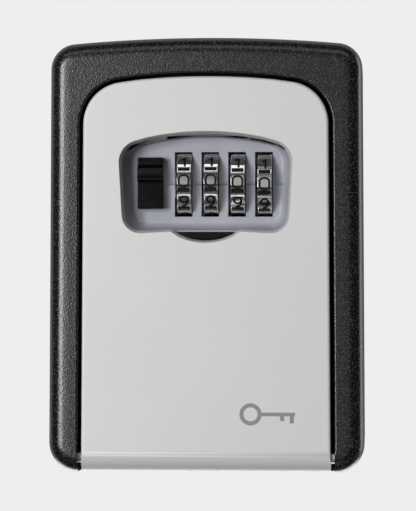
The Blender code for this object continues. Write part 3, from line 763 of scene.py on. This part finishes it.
def rib(z):
    """Side view of one rounded rib that ends at the height z."""
    root, proud, half_height, steps = -30.6, 0.42, 0.3, 6
    turns = [math.pi * i / steps for i in range(steps + 1)]
    return [(root - proud * math.sin(turn), z - half_height + half_height * math.cos(turn)) for turn in turns]


def make_button(plastic):
    """Ribbed slide button with a thumb ridge above its middle."""
    profile = [(-27.6, 26.6), (-30.3, 26.6), (-30.6, 26.35)]
    for z in (26.0, 25.05):
        profile += rib(z)
    profile += [(-30.9, 24.1), (-31.8, 23.9), (-32.25, 23.5), (-32.3, 22.9), (-32.1, 21.6), (-31.9, 20.7)]
    profile += [(-31.5, 20.15), (-30.8, 19.95), (-30.6, 19.8)]
    for step in range(8):
        profile += rib(19.6 - 0.84 * step)
    profile += [(-30.6, 12.85), (-30.35, 12.6), (-27.6, 12.6)]
    left, right = BUTTON_X - 3.55, BUTTON_X + 3.55
    rings = []
    for x, draw_in in ((left, 0.35), (left + 0.12, 0.1), (left + 0.35, 0.0),
                       (right - 0.35, 0.0), (right - 0.12, 0.1), (right, 0.35)):
        ring = []
        for y, z in profile:
            front = y + draw_in if y < -28 else y
            ring.append((x, front, z - math.copysign(min(draw_in, 0.2), z - BUTTON_Z)))
        rings.append(ring)
    button = loft("slide_button", rings)
    cut(button, box("socket", (BUTTON_X - 1.8, BUTTON_X + 1.8), (-29.3, -27), (17.8, 21.4)))
    shade(button, 50)
    place(button, "latch", [plastic], ["release_button"])


# ---------------------------------------------------------------- stage

def aim(target, at):
    direction = Vector(at) - target.location
    target.rotation_mode = "QUATERNION"
    target.rotation_quaternion = direction.to_track_quat("-Z", "Y")


def area_light(name, azimuth, elevation, distance, size, radiance):
    """Rectangular softbox aimed at the box; azimuth runs to the right from the front, in degrees."""
    light = bpy.data.lights.new(name, "AREA")
    light.shape = "RECTANGLE"
    light.size, light.size_y = size
    light.energy = radiance * math.pi * size[0] * size[1]
    turn, rise = math.radians(azimuth), math.radians(elevation)
    made = bpy.data.objects.new(name, light)
    made.location = (
        distance * math.sin(turn) * math.cos(rise),
        -distance * math.cos(turn) * math.cos(rise),
        distance * math.sin(rise),
    )
    made.visible_camera = False
    bpy.context.scene.collection.objects.link(made)
    aim(made, (0, -0.02, 0))


def make_world():
    """Room seen in reflections: dim round the front, a pale patch ahead and a bright backdrop behind."""
    world = bpy.data.worlds.new("studio")
    world.use_nodes = True
    bpy.context.scene.world = world
    tree = world.node_tree
    background = tree.nodes["Background"]
    direction = tree.nodes.new("ShaderNodeTexCoord")
    split = tree.nodes.new("ShaderNodeSeparateXYZ")
    depth = tree.nodes.new("ShaderNodeMapRange")
    ramp = tree.nodes.new("ShaderNodeValToRGB")
    path = tree.nodes.new("ShaderNodeLightPath")
    mix = tree.nodes.new("ShaderNodeMix")
    mix.data_type = "RGBA"
    depth.inputs[1].default_value = -1.0
    tree.links.new(direction.outputs["Generated"], split.inputs[0])
    tree.links.new(split.outputs["Y"], depth.inputs["Value"])
    tree.links.new(depth.outputs["Result"], ramp.inputs["Fac"])
    stops = [(0.0, 0.43), (0.016, 0.43), (0.03, 0.05), (0.55, 0.05)]
    stops += [(0.64, 0.5), (0.75, 0.8), (0.92, 0.4), (1.0, 0.15)]
    elements = ramp.color_ramp.elements
    elements[0].position, elements[1].position = stops[0][0], stops[-1][0]
    elements[0].color, elements[1].color = grey(stops[0][1]), grey(stops[-1][1])
    for position, value in stops[1:-1]:
        elements.new(position).color = grey(value)
    tree.links.new(path.outputs["Is Camera Ray"], mix.inputs[0])
    tree.links.new(ramp.outputs["Color"], mix.inputs[6])
    mix.inputs[7].default_value = grey(0.855)
    tree.links.new(mix.outputs[2], background.inputs["Color"])


def make_floor():
    """Plain pale floor, well below the box and its open door."""
    half = 3000
    square = [(-half, -half), (half, -half), (half, half), (-half, half)]
    floor = loft("floor", [[(x, y, z) for x, y in square] for z in (-820, -800)])
    shader = Shader("floor")
    shader.link("Base Color", shader.mix(shader.noise(6.0), grey(0.83), grey(0.85)))
    shader.set(Roughness=0.9, Emission_Color=grey(1.0), Emission_Strength=0.25)
    floor.data.materials.append(shader.material)
    floor.visible_glossy = False
    floor.visible_diffuse = False


def make_camera():
    """Long lens a little right of the front, aimed at the front face."""
    camera = bpy.data.cameras.new("camera")
    camera.lens = 182.5
    camera.sensor_width = 36.0
    camera.clip_end = 30.0
    made = bpy.data.objects.new("camera", camera)
    azimuth, elevation, distance = math.radians(3.6), math.radians(0.3), 0.7
    target = Vector((0.0007, -0.036, -0.0001))
    away = Vector((
        math.sin(azimuth) * math.cos(elevation),
        -math.cos(azimuth) * math.cos(elevation),
        math.sin(elevation),
    ))
    made.location = target + away * distance
    bpy.context.scene.collection.objects.link(made)
    aim(made, target)
    bpy.context.scene.camera = made


# ---------------------------------------------------------------- everything

def finish_cad_nodes(finishes):
    """Procedural finishes for the CAD nodes that stay visible."""
    for name, finish in finishes.items():
        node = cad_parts[name]
        node.data.materials.clear()
        node.data.materials.append(finish)


def main():
    front_coat = black_powder_coat("black_powder_coat", 0.15, 0.27, 0.5)
    side_coat = black_powder_coat("black_powder_coat_side", 0.5, 0.6, 0.2)
    metal, paint = nickel(), black_paint()
    zinc = plated_metal("zinc_plate", (0.97, 1.0, 1.03), 0.56, 0.42, 0.28, 0.45, 260.0)
    casting = plated_metal("zinc_casting", (1.0, 1.0, 0.98), 0.40, 0.30, 0.42, 0.6, 90.0)
    spring = plated_metal("spring_steel", (1.0, 0.99, 0.96), 0.42, 0.30, 0.2, 0.36, 500.0)
    # very dark steel for the dial axle and clutches: its darkness is painted shade that keeps the gaps round
    # the dials black
    slot_shade_steel = plated_metal("slot_shade_steel", (0.95, 0.98, 1.0), 0.06, 0.035, 0.4, 0.55, 300.0)
    button_plastic = black_plastic("button_plastic", 0.0015, 0.16, 0.26, 0.25)
    shutter_plastic = black_plastic("shutter_plastic", 0.002, 0.26, 0.4, 0.1)
    make_housing(front_coat, side_coat)
    make_door(silver_powder_coat())
    make_shutter(shutter_plastic)
    make_key_mark(grey_print())
    make_bezel(satin_bezel())
    for number, (x, tilt) in enumerate(zip(DIAL_XS, DIAL_TILTS), 1):
        make_dial(number, x, tilt, metal, paint)
        make_digits(number, x, tilt, paint)
    make_button(button_plastic)
    make_return_spring(spring)
    finishes = {"hinge_pin": zinc, "lock_case": casting, "latch_slide": casting, "dial_axle": slot_shade_steel}
    finishes.update({"detent_spring": spring, "reset_lever": spring})
    finishes.update({f"clutch_{i}": slot_shade_steel for i in range(1, 5)})
    finishes.update({f"case_screw_{i}": zinc for i in range(1, 7)})
    finish_cad_nodes(finishes)
    make_world()
    area_light("key_light", -27, 4, 2.0, (0.9, 1.0), 8.4)
    area_light("strip_light", -31, 4, 2.0, (0.2, 0.9), 14.0)
    area_light("top_light", -3, 48, 1.0, (1.4, 0.33), 1.25)
    area_light("low_light", 0, -45, 1.0, (0.45, 0.2), 1.15)
    area_light("floor_glow", 180, -45, 0.8, (1.2, 0.4), 4.0)
    area_light("right_light", 106, 4, 1.0, (0.4, 1.0), 2.6)
    make_floor()
    make_camera()
    bpy.context.scene.view_settings.view_transform = "Standard"


main()
